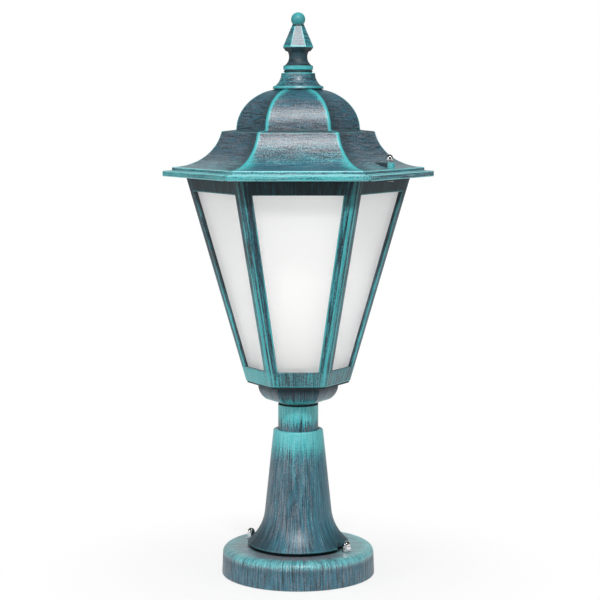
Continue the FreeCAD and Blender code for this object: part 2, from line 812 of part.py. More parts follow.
def earth_wire():
    start = earth_screw_along - earth_screw_d / 2
    length = block_along + wire_entry - start
    return wired(Part.makeCylinder(wire_d / 2, length, Vector(start, block_pitch, z_wires), Vector(1, 0, 0)))


def save(name, *solids):
    shape = solids[0] if len(solids) == 1 else Part.makeCompound(list(solids))
    shape.exportStep("parts/" + name + ".step")


os.makedirs("parts", exist_ok=True)

save("base_disc", base_disc())
save("ground_bar", ground_bar())
save("base_bolts", *base_bolts())
save("base_locknuts", *base_locknuts())
save("base_washers", *base_washers())
save("base_cap_nuts", *base_cap_nuts())
save("pillar", pillar())
save("neck_tube", neck_tube())
save("bowl", bowl())
save("cage", cage())
for number, azimuth in enumerate(FACES, 1):
    save("glass_pane_" + str(number), glass_pane(azimuth))
save("pane_clips", *pane_clips())
save("clip_screws", *clip_screws())
save("roof", roof())
save("roof_bolts", *roof_bolts())
save("roof_cap_nuts", *roof_cap_nuts())
save("finial", finial())
save("finial_stud", finial_stud())
save("finial_washer", finial_washer())
save("finial_nut", finial_nut())
save("tie_rod", tie_rod())
save("rod_washer", rod_washer())
save("rod_lower_nut", rod_nut(z_base_ceiling - rod_washer_sheet - rod_nut_height))
save("rod_upper_nut", rod_nut(z_strap_top))
save("cage_strap", cage_strap())
save("lampholder_body", lampholder_body())
save("lampholder_shell", lampholder_shell())
save("lampholder_contact", lampholder_contact())
save("bulb", bulb())
save("terminal_block", terminal_block())
save("terminal_screw", terminal_screw())
save("live_wire", wire(-1, -1))
save("neutral_wire", wire(0, 1))
save("earth_wire", earth_wire())
save("earth_screw", earth_screw())
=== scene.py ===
import bmesh
import bpy
import json
import math
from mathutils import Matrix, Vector
from mathutils.bvhtree import BVHTree
from mathutils.kdtree import KDTree


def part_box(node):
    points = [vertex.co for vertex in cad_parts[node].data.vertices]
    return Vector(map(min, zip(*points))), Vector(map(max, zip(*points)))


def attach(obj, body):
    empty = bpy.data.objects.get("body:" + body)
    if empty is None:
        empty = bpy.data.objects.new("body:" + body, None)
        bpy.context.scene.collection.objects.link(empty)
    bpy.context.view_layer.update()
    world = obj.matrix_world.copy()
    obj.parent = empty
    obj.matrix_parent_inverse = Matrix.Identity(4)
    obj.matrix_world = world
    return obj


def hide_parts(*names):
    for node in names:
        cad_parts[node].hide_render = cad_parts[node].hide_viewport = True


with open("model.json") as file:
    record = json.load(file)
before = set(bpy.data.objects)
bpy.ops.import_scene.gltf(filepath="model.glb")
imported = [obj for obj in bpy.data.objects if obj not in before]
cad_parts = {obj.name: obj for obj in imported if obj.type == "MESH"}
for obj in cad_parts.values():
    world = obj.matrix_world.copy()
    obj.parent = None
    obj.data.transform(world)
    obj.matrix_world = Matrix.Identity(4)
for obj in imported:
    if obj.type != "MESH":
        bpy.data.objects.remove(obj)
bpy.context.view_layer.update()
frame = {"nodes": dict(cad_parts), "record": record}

# All lengths are in metres, and all colours are linear.

# Camera, fitted to the photograph, with its pitch in degrees and its lens in millimetres
CAMERA_PLACE = (0.0018, -1.7543, 0.4724)
CAMERA_PITCH = 6.338
CAMERA_LENS = 105.87

# Radius of the rounded edges of each node that gets them
EDGE_RADII = {
    "roof": 0.0011,
    "cage": 0.0009,
    "bowl": 0.0009,
    "pillar": 0.0005,
    "neck_tube": 0.0006,
    "base_disc": 0.0008,
    "finial": 0.00032,
    "roof_cap_nuts": 0.0003,
    "base_cap_nuts": 0.0003,
    "base_washers": 0.0002,
    "roof_bolts": 0.0003,
}
PANES = 6
PANE_EDGE_RADIUS = 0.0004
for number in range(1, PANES + 1):
    EDGE_RADII["glass_pane_" + str(number)] = PANE_EDGE_RADIUS

# How the sharp edges are found, rounded and marked
SAME_POINT = 1e-6
FLAT_ANGLE = math.radians(0.2)
SHARP_ANGLE = math.radians(28)
EDGE_SEGMENTS = 4
EDGE_STEP = 0.0005
FACE_WEIGHT = 90

# The roof's hollow: a wall's normal points so far to the axis, a ceiling's so far down
WALL_FACING = -0.75
CEILING_FACING = -0.5

# The lantern is a hexagon with two corners on the X axis: four sides face 30 degrees off that axis
COS_30 = math.cos(math.radians(30))
SIN_30 = math.sin(math.radians(30))
SIDE_BLEND = 0.0003

# What is added to the square of the radius, so that it is never 0
AXIS_GUARD = 1e-8

# The cage's outer face: distance from the axis at its foot, and how that grows with height
CAGE_FOOT = 0.0537 * COS_30
CAGE_SLOPE = 0.28925 * COS_30

# Half the width of the chamfers on the cage's corners, and its stiles' widths at foot and head
CHAMFER_HALF = 0.00277
STILE_FOOT = 0.0091 * COS_30
STILE_HEAD = 0.0112 * COS_30

# The roof bolts' distance from the axis, and the length, half width and height of their bosses
BOSS_RADIUS = 0.10178
BOSS_LENGTH = 0.018
BOSS_HALF = 0.0051
BOSS_HEIGHT = 0.0061

# Heights read from the frame
Z_BASE_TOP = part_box("base_disc")[1].z
Z_PILLAR_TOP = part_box("pillar")[1].z
Z_TUBE_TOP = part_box("neck_tube")[1].z
Z_CAGE_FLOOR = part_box("cage")[0].z
Z_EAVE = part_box("roof")[0].z
Z_ROOF_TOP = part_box("roof")[1].z
Z_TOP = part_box("finial")[1].z
Z_BULB_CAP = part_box("lampholder_body")[1].z

# Heights of details between those
Z_BOWL_FLOOR = Z_TUBE_TOP + 0.004
Z_RAIL_TOP = Z_CAGE_FLOOR + 0.015
Z_HEAD = Z_EAVE - 0.0145
Z_STEP = Z_EAVE + 0.0056
Z_CEILING = Z_EAVE + 0.006
Z_FLARE = Z_EAVE + 0.0092
Z_SHELF = Z_EAVE + 0.0445
Z_NECK_FOOT = Z_ROOF_TOP + 0.0226
Z_SPIKE_FOOT = Z_TOP - 0.0339

# Heights between which the cage's lower half turns into its upper one, and softness of the eave's lips
CAGE_MIDDLE = (0.26, 0.36)
LIP_SOFT = 0.0004

# Paint colours, and the finish of the coat
# The first colour is painted shade, laid where shade falls; it also colours the dark pits in the eave's
# lips
SHADE_AND_PIT_COLOUR = (0.004, 0.018, 0.023, 1)
DEEP = (0.012, 0.029, 0.04, 1)
SLATE = (0.034, 0.078, 0.112, 1)
TEAL = (0.036, 0.168, 0.235, 1)
TURQUOISE = (0.05, 0.46, 0.49, 1)
# Mint that is dry-brushed on worn edges, and also painted highlights
MINT = (0.24, 0.66, 0.68, 1)
# A silver grey that is dry-brushed on, and also painted sheen where the light would shine
SILVER_AND_SHEEN = (0.21, 0.213, 0.242, 1)
ENAMEL = (0.82, 0.82, 0.8, 1)
PAINT_TINT = (1.0, 0.97, 0.965, 1)
PAINT_IOR = 1.6
PAINT_ROUGHNESS = 0.34
SHADE_AND_PIT_ROUGHNESS = 0.3
MARK_ROUGHNESS = 0.07

# Cells of noise to the metre: across and along the brush's strokes, and in the dust
BROAD_CELLS = (560, 30)
FINE_CELLS = (940, 42)
DRY_CELLS = (860, 40)
PIT_CELLS = (700, 160)
DUST_CELLS = 760
DUST_DETAIL = 1.5

# The strokes' noise: its detail, roughness and distortion, and how far the dry strokes are moved along
STROKE_NOISE = (3.0, 0.6, 0.3)
DRY_OFFSET = 0.37

# Share of the fine strokes among all, and the marks between which the deep colour turns into slate
FINE_SHARE = 0.75
SLATE_EDGE = (0.38, 0.62)

# Share of the dust in the brushed, worn and dry marks, for upright strokes and for level ones
UPRIGHT_DUST = (0.05, 0.26, 0.28)
LEVEL_DUST = (0.2, 0.45, 0.5)

# How far the marks of each coat stray from its field, and how soft they are
TEAL_BRUSH = (3.2, 0.34)
SILVER_BRUSH = (3.2, 0.36)
PALE_BRUSH = (1.6, 0.26)
PIT_BRUSH = (3.0, 0.16)
BRIGHT_SPREAD = 2.8
BRIGHT_SOFT = 0.3

# Relief of the paint: its height, its strength, and the strokes' height as a share of the dust's
GRAIN = 0.00025
FINE_GRAIN = 0.00015
RELIEF = 0.85
STROKE_RELIEF = 0.1

# Stage: floor, light of the world, and each softbox's place, size and watts
FLOOR_CORNERS = [(-1.5, -0.3, 0), (1.5, -0.3, 0), (1.5, 2.5, 0), (-1.5, 2.5, 0)]
FLOOR_DROP = 0.0003
FLOOR_GREY = (0.9, 0.9, 0.9, 1)
SHADOW_REACH = (0.07, 0.3)
NEAR_WHITE = 0.72
WHITE = (1, 1, 1, 1)
AMBIENT = 0.33
BACKDROP_EDGE = (0.76, 0.97)
BACKDROP_DIM = 0.06
OVERHEAD_EDGE = (0.45, 0.8)
OVERHEAD_DIM = 0.3
SOFTBOXES = {
    "key_light": ((0.1, -1.5, 1.85), 0.2, 35),
    "left_light": ((-1.9, -1.3, 0.7), 0.9, 10),
    "right_light": ((2.0, -1.2, 0.8), 0.9, 4),
}
LIGHT_TARGET = Vector((0, 0, 0.3))


class Nodes:
    """A node tree with short ways to add nodes to it. What they take are sockets or plain values."""

    def __init__(self, tree):
        self.tree = tree

    def feed(self, socket, value):
        if isinstance(value, bpy.types.NodeSocket):
            self.tree.links.new(value, socket)
        else:
            socket.default_value = value

    def node(self, kind, inputs=(), **settings):
        made = self.tree.nodes.new("ShaderNode" + kind)
        for key, value in settings.items():
            setattr(made, key, value)
        for name, value in dict(inputs).items():
            self.feed(made.inputs[name], value)
        return made

    def math(self, operation, *values):
        made = self.node("Math", operation=operation)
        for socket, value in zip(made.inputs, values):
            self.feed(socket, value)
        return made.outputs[0]

    def chain(self, operation, first, others):
        for other in others:
            first = self.math(operation, first, other)
        return first

    def add(self, first, *others):
        return self.chain("ADD", first, others)

    def less(self, first, *others):
        return self.chain("SUBTRACT", first, others)

    def times(self, first, *others):
        return self.chain("MULTIPLY", first, others)

    def most(self, first, *others):
        return self.chain("MAXIMUM", first, others)

    def least(self, first, *others):
        return self.chain("MINIMUM", first, others)

    def without(self, field, other):
        """The field where the other one is not."""
        return self.times(field, self.less(1.0, other))

    def ramp(self, value, low, high, start, end, curve="SMOOTHSTEP"):
        made = self.node("MapRange", {"Value": value, "From Min": low, "From Max": high, "To Min": start,
                                      "To Max": end}, interpolation_type=curve)
        return made.outputs["Result"]

    def rise(self, value, low, high):
        """0 below the low value and 1 above the high one."""
        return self.ramp(value, low, high, 0.0, 1.0)

    def fall(self, value, low, high):
        """1 below the low value and 0 above the high one."""
        return self.ramp(value, low, high, 1.0, 0.0)

    def between(self, share, a, b):
        """A number between two. The node's sockets go by number."""
        return self.node("Mix", {0: share, 2: a, 3: b}).outputs[0]

    def mix(self, share, a, b):
        """A colour between two. The node's colour sockets go by number."""
        return self.node("Mix", {0: share, 6: a, 7: b}, data_type="RGBA").outputs[2]


class Material(Nodes):
    """A material of the shader's own inputs, and noise to feed them."""

    def __init__(self, name):
        self.material = bpy.data.materials.new(name)
        self.material.use_nodes = True
        super().__init__(self.material.node_tree)
        self.shader = self.tree.nodes["Principled BSDF"]

    def place(self):
        """The point's X, Y and Z."""
        coordinates = self.node("TexCoord").outputs["Object"]
        return self.node("SeparateXYZ", {"Vector": coordinates}).outputs

    def point(self, x, y, z):
        return self.node("CombineXYZ", {"X": x, "Y": y, "Z": z}).outputs[0]

    def noise(self, vector, detail, roughness=0.5, distortion=0.0):
        made = self.node("TexNoise", {"Vector": vector, "Scale": 1.0, "Detail": detail,
                                      "Roughness": roughness, "Distortion": distortion})
        return made.outputs["Fac"]

    def grain(self, cells, detail=2.0):
        """Even noise of so many cells to the metre."""
        return self.noise(self.point(*[self.times(value, cells) for value in self.place()]), detail)

    def bump(self, height, strength, depth):
        made = self.node("Bump", {"Strength": strength, "Distance": depth, "Height": height})
        self.feed(self.shader.inputs["Normal"], made.outputs[0])

    def set(self, **values):
        """Sets the shader's inputs, named with underscores for spaces."""
        for name, value in values.items():
            self.feed(self.shader.inputs[name.replace("_", " ")], value)
        return self.material


class Patina(Material):
    """Dark slate paint, dry-brushed with teal, turquoise, silver and mint, with painted shade, painted
    sheen and painted highlights laid in among the coats.
    """

    def __init__(self, name, reach):
        """The reach is the radius at which the brush's marks have their full count of cells."""
        super().__init__(name)
        self.x, self.y, self.z = self.place()
        squares = self.add(self.times(self.x, self.x), self.times(self.y, self.y))
        self.radius = self.math("SQRT", self.add(squares, AXIS_GUARD))
        self.across = self.times(self.math("DIVIDE", self.x, self.radius), reach)
        self.along = self.times(self.math("DIVIDE", self.y, self.radius), reach)

    def attribute(self, name):
        return self.node("Attribute", attribute_name=name).outputs["Fac"]

    def hexagon(self):
        """Distances from three planes through the axis, each along two sides and through two corners."""
        side = self.times(self.x, COS_30)
        slant = self.times(self.y, SIN_30)
        planes = [self.y, self.add(side, slant), self.less(side, slant)]
        return [self.math("ABSOLUTE", value) for value in planes]

    def facet(self):
        """Distance from the axis square to the hexagon's sides."""
        return self.most(*self.hexagon())

    def ridge(self):
        """Distance from the nearest upright plane through two corners of the hexagon."""
        return self.least(*self.hexagon())

    def front_ridge(self):
        """The same for the corners of the two sides that face along Y."""
        _, first, second = self.hexagon()
        return self.least(first, second)

    def square_on(self):
        """1 on the two sides of the hexagon that face along Y, 0 on the other four."""
        own, first, second = self.hexagon()
        return self.rise(self.less(own, self.most(first, second)), -SIDE_BLEND, SIDE_BLEND)

    def boss_place(self):
        """How far out along the bolt boss on the point's half of the roof, and how far aside of it."""
        out = self.less(self.times(self.x, COS_30), self.times(self.y, SIN_30))
        aside = self.add(self.times(self.x, SIN_30), self.times(self.y, COS_30))
        return self.math("ABSOLUTE", out), self.times(aside, self.math("SIGN", out))

    def band(self, low, high, soft):
        """1 between two heights."""
        return self.least(self.rise(self.z, low - soft, low), self.fall(self.z, high, high + soft))

    def streaks(self, profile, around, lengthwise):
        """Brush marks: noise drawn out round the axis or along the profile, whichever has fewer cells."""
        vector = self.point(self.times(self.across, around), self.times(self.along, around),
                            self.times(profile, lengthwise))
        return self.noise(vector, *STROKE_NOISE)

    def blend(self, first, second, share):
        return self.add(self.times(first, 1.0 - share), self.times(second, share))

    def feather(self, field, marks, spread, soft):
        """A dry brush: where the field is full all is covered, and where it thins only some marks are."""
        offset = self.times(self.less(marks, 0.5), spread)
        return self.rise(self.add(field, offset), 0.5 - soft, 0.5 + soft)

    def paint(self, profile, upright, teal, bright, silver_and_sheen, pale=0.0, shade_and_pits=0.0, line=0.0, grain=GRAIN,
              spread=BRIGHT_SPREAD):
        """Lays the coats, and the painted shade, sheen and highlights among them. The fields say where
        each colour goes on, from 0 to 1.
        """
        order = 1 if upright else -1
        broad = self.streaks(profile, *BROAD_CELLS[::order])
        thin = self.streaks(profile, *FINE_CELLS[::order])
        other = self.streaks(self.add(profile, DRY_OFFSET), *DRY_CELLS[::order])
        dust = self.grain(DUST_CELLS, DUST_DETAIL)
        in_brushed, in_worn, in_dry = UPRIGHT_DUST if upright else LEVEL_DUST
        strokes = self.blend(broad, thin, FINE_SHARE)
        brushed = self.blend(strokes, dust, in_brushed)
        worn = self.blend(strokes, dust, in_worn)
        dry = self.blend(other, dust, in_dry)
        coat = self.mix(self.rise(worn, *SLATE_EDGE), DEEP, SLATE)
        coat = self.mix(self.feather(teal, brushed, *TEAL_BRUSH), coat, TEAL)
        coat = self.mix(self.feather(bright, worn, spread, BRIGHT_SOFT), coat, TURQUOISE)
        # Silver strokes, and painted sheen
        coat = self.mix(self.feather(silver_and_sheen, dry, *SILVER_BRUSH), coat, SILVER_AND_SHEEN)
        # Mint on worn edges, and painted highlights
        coat = self.mix(self.feather(pale, worn, *PALE_BRUSH), coat, MINT)
        # Painted shade, and the dark pits
        coat = self.mix(shade_and_pits, coat, SHADE_AND_PIT_COLOUR)
        coat = self.mix(line, coat, TURQUOISE)
        coat = self.mix(self.attribute("inside"), coat, ENAMEL)
        rough = self.add(PAINT_ROUGHNESS, self.times(shade_and_pits, SHADE_AND_PIT_ROUGHNESS),
                         self.times(self.add(dust, thin), MARK_ROUGHNESS))
        self.bump(self.add(self.times(thin, STROKE_RELIEF), dust), RELIEF, grain)
        return self.set(Base_Color=coat, Roughness=rough, Specular_Tint=PAINT_TINT, IOR=PAINT_IOR)


def roof_paint():
    made = Patina("roof_paint", 0.09)
    profile = made.less(made.z, made.facet())
    edge = made.attribute("edge")
    front = made.square_on()
    corner = made.ridge()
    away = made.front_ridge()

    # The eave's two lips, duller on the right, with painted highlights on their top edges and along the
    # upper lip's top
    above = made.rise(made.z, Z_FLARE - LIP_SOFT, Z_FLARE + LIP_SOFT)
    right = made.times(made.rise(made.x, 0.05, 0.09), 0.9)
    lower_lip = made.times(made.band(Z_EAVE, Z_STEP, LIP_SOFT), 0.68)
    upper_lip = made.times(made.band(Z_STEP, Z_FLARE, LIP_SOFT), 0.42)
    upper_lip_highlight = made.times(upper_lip, made.rise(made.z, Z_STEP, Z_FLARE))
    lips = made.without(made.most(lower_lip, upper_lip), right)
    low = made.without(made.fall(made.z, Z_FLARE, Z_FLARE + 0.003), made.fall(corner, 0.0012, 0.002))
    pits = made.without(made.feather(0.06, made.streaks(profile, *PIT_CELLS[::-1]), *PIT_BRUSH), above)

    # The flare, with painted sheen on the front and on the sides, the shelf, in painted shade, and the
    # dome's crown, with a little painted shade
    foot = made.fall(made.z, Z_FLARE + 0.002, Z_FLARE + 0.02)
    side_foot_sheen = made.without(foot, front)
    front_flare_sheen = made.times(made.band(Z_FLARE + 0.009, Z_FLARE + 0.021, 0.009), 0.34, front)
    side_flare_sheen = made.without(made.band(Z_FLARE + 0.006, Z_SHELF, 0.008), front)
    shelf_shade = made.times(made.band(Z_SHELF - 0.0002, Z_SHELF + 0.003, 0.0006), 0.45)
    crown = made.rise(made.z, Z_ROOF_TOP - 0.016, Z_ROOF_TOP - 0.004)
    tinted = made.most(made.times(foot, front), crown)

    # Lines along the ridges, which fade out over the front in a painted highlight, with painted shade on
    # the sides beside them
    line = made.times(made.fall(corner, 0.0011, 0.0022), above, 0.9)
    reach = made.add(0.0045, made.times(foot, 0.011), made.times(crown, 0.005))
    ridge_highlight = made.most(0.0, made.less(1.0, made.math("DIVIDE", away, reach)))
    ridge_highlight = made.times(ridge_highlight, front, above)
    ridge_shade = made.times(made.without(made.fall(away, 0.004, 0.026), front), 0.4, above)

    # The bolt bosses: a bright end, and painted shadow on the side
    far, aside = made.boss_place()
    boss = made.least(made.rise(far, BOSS_RADIUS - BOSS_LENGTH, BOSS_RADIUS - BOSS_LENGTH + 0.0005),
                      made.fall(made.math("ABSOLUTE", aside), BOSS_HALF, BOSS_HALF + 0.0002))
    boss_top = Z_FLARE + BOSS_HEIGHT
    boss = made.times(boss, above, made.fall(made.z, boss_top, boss_top + 0.0002))
    boss_end = made.times(boss, made.rise(far, BOSS_RADIUS - 0.001, BOSS_RADIUS + 0.001), 0.75)
    boss_shadow = made.times(boss, made.fall(aside, 0.0004 - BOSS_HALF, 0.0011 - BOSS_HALF))
    boss_shadow = made.times(made.without(boss_shadow, boss_end), 0.9)

    bright = made.most(made.times(edge, 0.55), made.times(ridge_highlight, 0.95), lips, front_flare_sheen, boss_end)
    pale = made.most(made.times(edge, low), made.less(made.times(ridge_highlight, 1.3), 0.7),
                     made.without(made.times(upper_lip_highlight, 1.2), right), made.times(lower_lip, 0.5),
                     made.times(front_flare_sheen, 0.8), made.times(side_foot_sheen, 0.34))
    teal = made.add(0.47, made.times(made.most(tinted, front_flare_sheen, made.times(side_foot_sheen, 0.6)), 0.24))
    # Painted sheen on the front facets and on the flare's sides
    silver_and_sheen = made.add(0.26, made.times(front, 0.12), made.times(side_flare_sheen, 0.1),
                      made.times(tinted, -0.24), made.times(side_foot_sheen, 0.08), made.times(front_flare_sheen, 0.24))
    silver_and_sheen = made.without(silver_and_sheen, boss_end)
    shade_and_pits = made.most(ridge_shade, boss_shadow, shelf_shade, made.times(pits, 0.55), made.times(crown, 0.22))
    return made.paint(profile, False, teal, bright, silver_and_sheen, pale, shade_and_pits, line)


def finial_paint():
    made = Patina("finial_paint", 0.015)
    edge = made.attribute("edge")

    # The ball, shaded round its equator and below, and the seam under it
    ball = made.rise(made.z, Z_TOP - 0.0125, Z_TOP - 0.0115)
    equator = made.times(made.rise(made.radius, 0.0036, 0.0064), 0.3)
    underside = made.times(made.fall(made.z, Z_TOP - 0.0105, Z_TOP - 0.006), 0.25)
    shaded = made.times(ball, made.most(equator, underside))
    seam = made.band(Z_TOP - 0.0134, Z_TOP - 0.0122, 0.0003)

    # The spike: a silver front with painted sheen, turquoise sides, bright arrises and hem
    spike = made.band(Z_SPIKE_FOOT, Z_TOP - 0.013, 0.0002)
    face = made.times(spike, made.square_on())
    sides = made.times(made.without(spike, face), 0.42)
    arris = made.times(spike, made.fall(made.front_ridge(), 0.0003, 0.0009))
    hem = made.band(Z_SPIKE_FOOT - 0.0002, Z_SPIKE_FOOT + 0.0012, 0.0003)

    # The neck, the collar and the groove, with painted shade on the neck, under the spike and in the
    # groove
    shade_below = made.band(Z_SPIKE_FOOT - 0.0045, Z_SPIKE_FOOT - 0.001, 0.0004)
    neck = made.band(Z_NECK_FOOT + 0.0005, Z_SPIKE_FOOT - 0.0045, 0.0015)
    collar = made.times(made.band(Z_NECK_FOOT - 0.004, Z_NECK_FOOT, 0.0002), 0.9)
    groove = made.band(Z_NECK_FOOT - 0.0064, Z_NECK_FOOT - 0.0044, 0.0004)

    # The stepped foot, with painted light on the left, painted sheen in the middle and painted shade on
    # the right
    skirt = made.fall(made.z, Z_ROOF_TOP + 0.015, Z_ROOF_TOP + 0.017)
    turn = made.math("DIVIDE", made.x, made.radius)
    left = made.times(skirt, made.fall(turn, -0.8, -0.3))
    right = made.times(skirt, made.rise(turn, 0.3, 0.8))
    middle = made.without(skirt, made.most(left, right))
    wash = made.add(made.times(skirt, 0.2), made.times(left, 0.2))
    rims = made.most(made.band(Z_ROOF_TOP + 0.0144, Z_ROOF_TOP + 0.0158, 0.0003),
                     made.band(Z_ROOF_TOP + 0.0008, Z_ROOF_TOP + 0.0024, 0.0003))

    lines = made.times(made.most(rims, hem, arris), 0.8)
    bright = made.most(made.times(edge, 0.75), ball, collar, sides, wash, lines)
    pale = made.most(made.times(edge, spike, 0.5), made.times(arris, 0.55))
    shade_and_pits = made.most(made.times(neck, 0.66), made.times(shade_below, 0.8), made.times(groove, 0.75),
                     seam, shaded, made.times(right, 0.3))
    silver_and_sheen = made.add(0.14, made.times(face, 0.12), made.times(middle, 0.18))
    return made.paint(made.z, False, 0.55, bright, silver_and_sheen, pale, shade_and_pits, grain=FINE_GRAIN)


def cage_paint():
    made = Patina("cage_paint", 0.08)
    edge = made.attribute("edge")
    face = made.add(CAGE_FOOT, made.times(made.less(made.z, Z_CAGE_FLOOR), CAGE_SLOPE))
    depth = made.less(face, made.facet())
    inside = made.rise(depth, 0.0012, 0.0028)
    away = made.ridge()
    stile = made.fall(away, 0.008, 0.0105)
    high = made.rise(made.z, Z_EAVE - 0.019, Z_EAVE - 0.012)
    rail = made.fall(made.z, Z_RAIL_TOP - 0.002, Z_RAIL_TOP + 0.001)

    # Where the cage is lighter or darker: left, right, upper, lower, left half of each front corner
    upper = made.rise(made.z, *CAGE_MIDDLE)
    left_side = made.fall(made.x, -0.035, -0.015)
    upper_left = made.times(left_side, upper)
    lower_left = made.without(left_side, upper_left)
    upper_right = made.times(made.rise(made.x, 0.015, 0.035), upper)
    rail_left = made.times(made.fall(made.x, -0.045, -0.02), rail, 0.36)
    turned = made.times(made.less(made.square_on(), 0.5), made.math("SIGN", made.x))
    lit = made.times(made.add(turned, 0.5), made.fall(made.front_ridge(), 0.012, 0.014))

    # Chamfers, and thin lines along their edges, round the windows and on the lowest rim
    bevel = made.add(0.24, made.times(lit, 0.42), made.times(upper_left, -0.32))
    chamfer = made.times(made.fall(away, CHAMFER_HALF - 0.0003, CHAMFER_HALF + 0.0003), bevel)
    corner = made.fall(made.math("ABSOLUTE", made.less(away, CHAMFER_HALF)), 0.0002, 0.0008)
    corner = made.times(corner, made.rise(made.z, Z_CAGE_FLOOR + 0.004, Z_CAGE_FLOOR + 0.03),
                        made.add(0.3, made.times(lit, 0.46)))
    stile_edge = made.ramp(made.z, Z_RAIL_TOP, Z_HEAD, STILE_FOOT, STILE_HEAD)
    window = made.times(made.rise(made.less(away, stile_edge), -0.0015, -0.0007),
                        made.band(Z_RAIL_TOP + 0.0006, Z_HEAD + 0.0003, 0.0003),
                        made.fall(depth, 0.0004, 0.0011), made.add(0.78, made.times(upper_left, -0.2)))
    rim = made.times(made.fall(made.z, Z_CAGE_FLOOR + 0.0008, Z_CAGE_FLOOR + 0.0014), 0.9)
    lines = made.without(made.most(window, corner, rim), made.most(inside, made.times(high, 0.6)))
    lintel = made.without(made.band(Z_HEAD - 0.0004, Z_HEAD + 0.0008, 0.0003), made.square_on())
    lintel = made.times(made.without(made.without(lintel, stile), inside), 0.4)

    bright = made.most(made.times(edge, 0.92), chamfer, made.times(rail, 0.4), lines,
                       made.add(0.2, made.times(lit, 0.12)))
    weight = made.add(1.0, made.times(upper_left, -0.3), made.times(lower_left, 0.26),
                      made.times(upper_right, 0.2))
    bright = made.times(made.add(bright, rail_left), weight)
    pale = made.add(made.times(edge, 0.3), rail_left)
    # Painted shadow of the eave on the top rail and the stiles' heads, painted shade in the window
    # reveals, and a darker upper left
    shade_and_pits = made.most(made.times(high, made.add(0.76, made.times(stile, -0.2))),
                     made.times(made.rise(made.z, Z_EAVE - 0.03, Z_EAVE - 0.022), 0.4),
                     made.times(inside, 0.8), made.times(upper_left, 0.16))
    silver_and_sheen = made.add(0.06, made.times(rail, 0.16))
    return made.paint(made.z, True, 0.38, bright, silver_and_sheen, pale, shade_and_pits, lintel)


def bowl_paint():
    made = Patina("bowl_paint", 0.04)
    low = made.times(made.fall(made.z, Z_BOWL_FLOOR, Z_BOWL_FLOOR + 0.009), 0.55)
    rim = made.fall(made.z, Z_BOWL_FLOOR + 0.002, Z_BOWL_FLOOR + 0.006)
    rim = made.times(made.attribute("edge"), rim, 0.75)
    # Painted shade on the upper bowl under the cage, painted shadow in the gap over the tube, and painted
    # sheen on the four facets that face sideways
    shade = made.times(made.rise(made.z, Z_BOWL_FLOOR + 0.006, Z_BOWL_FLOOR + 0.017), 0.75)
    gap_shadow = made.fall(made.z, Z_TUBE_TOP + 0.0006, Z_TUBE_TOP + 0.0014)
    silver_and_sheen = made.without(0.36, made.square_on())
    return made.paint(made.z, True, 0.44, made.most(low, rim), silver_and_sheen, shade_and_pits=made.most(shade, gap_shadow))


def tube_paint():
    made = Patina("tube_paint", 0.02)
    high = made.rise(made.z, Z_PILLAR_TOP - 0.002, Z_TUBE_TOP - 0.006)
    bright = made.add(0.14, made.times(high, 0.84))
    # Painted shadow in the gap under the bowl
    gap_shadow = made.rise(made.z, Z_TUBE_TOP - 0.0012, Z_TUBE_TOP - 0.0006)
    silver_and_sheen = made.add(0.34, made.times(bright, -0.3))
    return made.paint(made.z, True, 0.52, bright, silver_and_sheen, made.times(bright, 0.46), gap_shadow)


def pillar_paint():
    made = Patina("pillar_paint", 0.035)
    top = made.times(made.rise(made.z, Z_PILLAR_TOP - 0.036, Z_PILLAR_TOP + 0.003), 0.78)
    upper = made.times(made.rise(made.z, Z_PILLAR_TOP - 0.09, Z_PILLAR_TOP - 0.012), 0.2)
    # Painted shadow under the rim, and painted shade on the flanks of the foot
    shade_below = made.times(made.fall(made.z, Z_BASE_TOP + 0.0028, Z_BASE_TOP + 0.0036), 0.95)
    foot = made.times(made.fall(made.z, Z_BASE_TOP + 0.008, Z_BASE_TOP + 0.03),
                      made.rise(made.math("ABSOLUTE", made.x), 0.016, 0.036), 0.58)
    # The right side darker and bluer with painted shade, the left with more painted sheen
    right = made.rise(made.x, 0.004, 0.02)
    teal = made.add(0.56, made.times(right, 0.16), made.times(top, 0.5))
    silver_and_sheen = made.add(0.3, made.times(right, -0.24), made.times(top, -0.36))
    pale = made.add(0.2, made.times(top, 0.34))
    shade_and_pits = made.most(shade_below, foot, made.times(right, 0.14))
    line = made.times(made.attribute("edge"), 0.2)
    return made.paint(made.z, True, teal, made.add(top, upper), silver_and_sheen, pale, shade_and_pits, line)


def base_paint():
    made = Patina("base_paint", 0.07)
    profile = made.less(made.radius, made.z)
    top = made.rise(made.z, Z_BASE_TOP - 0.01, Z_BASE_TOP - 0.002)
    rim = made.least(made.rise(made.radius, 0.057, 0.07), top)
    front = made.times(rim, made.fall(made.y, -0.06, -0.02))
    flank = made.without(rim, front)
    inner = made.without(top, rim)
    open_top = made.times(inner, made.rise(made.y, -0.055, -0.025))
    right = made.times(made.most(flank, open_top), made.rise(made.x, 0.02, 0.05))
    # Painted shade on the top round the pillar's foot, and a darker band down the side
    shade_below = made.times(made.fall(made.radius, 0.046, 0.053),
                       made.rise(made.z, Z_BASE_TOP - 0.001, Z_BASE_TOP), 0.9)
    side = made.times(made.band(Z_BASE_TOP - 0.011, Z_BASE_TOP - 0.007, 0.003), 0.12)
    teal = made.add(0.56, made.times(rim, 0.2))
    bright = made.add(made.times(flank, 0.14), made.times(front, 0.46))
    # Painted sheen on the inner top and the flanks, and painted highlights on the flanks, the front edge
    # and the open top, more on the right
    silver_and_sheen = made.add(0.2, made.times(inner, 0.5), made.times(flank, 0.4))
    pale = made.add(0.14, made.times(flank, 0.32), made.times(front, 0.3), made.times(open_top, 0.24),
                    made.times(right, 0.1))
    return made.paint(profile, True, teal, bright, silver_and_sheen, pale, made.most(shade_below, side), spread=1.8)


